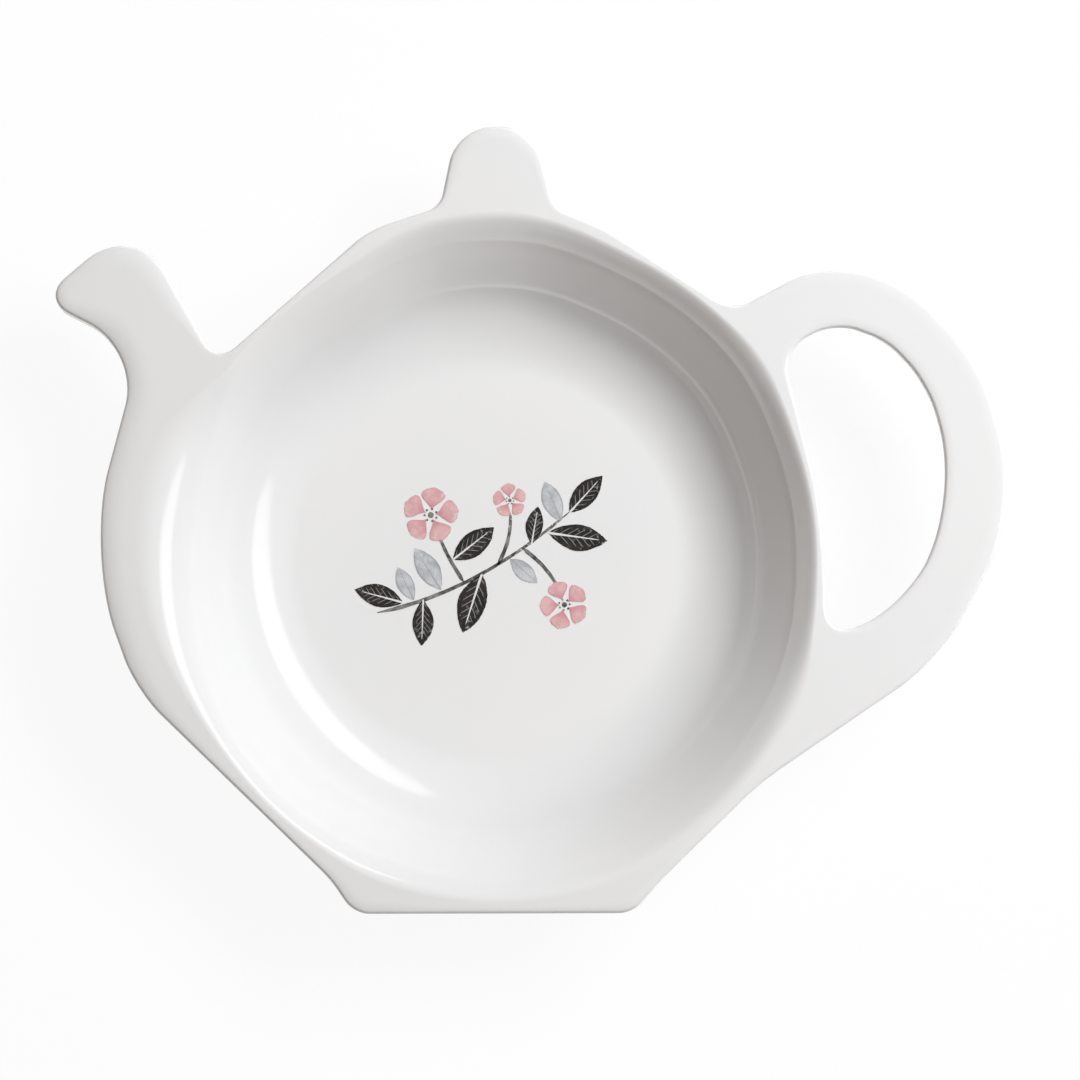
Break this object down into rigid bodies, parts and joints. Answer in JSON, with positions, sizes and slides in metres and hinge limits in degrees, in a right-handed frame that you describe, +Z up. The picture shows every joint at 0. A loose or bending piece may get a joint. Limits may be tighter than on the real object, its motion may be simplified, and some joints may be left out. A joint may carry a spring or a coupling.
{
  "type": "tea bag rest",
  "caption": "Shallow glazed china dish with a teapot outline: round well with a flat floor, flat spout, lid knob and open handle, and a leaf sprig print. Holds a used tea bag.",
  "frame": {"origin": "on the axis of the round well, at the table plane under the foot ring", "axes": "+X towards the handle, +Y towards the lid knob, +Z up out of the well"},
  "size_m": [0.1207, 0.0999, 0.017],
  "materials": {
    "glaze": "glossy clear glaze over white china",
    "biscuit": "unglazed, ground flat",
    "ink_black": "fired-on ceramic ink, glossy",
    "ink_pale_grey": "fired-on ceramic ink, glossy",
    "ink_grey": "fired-on ceramic ink, glossy",
    "ink_pink": "fired-on ceramic ink, glossy"
  },
  "bodies": {
    "root": {"dish": "glaze", "spout": "glaze", "lid_knob": "glaze", "handle": "glaze", "foot_ring": "biscuit", "print_leaves": "ink_black", "print_pale_leaves": "ink_pale_grey", "print_stems": "ink_grey", "print_blossoms": "ink_pink"}
  },
  "joints": []
}
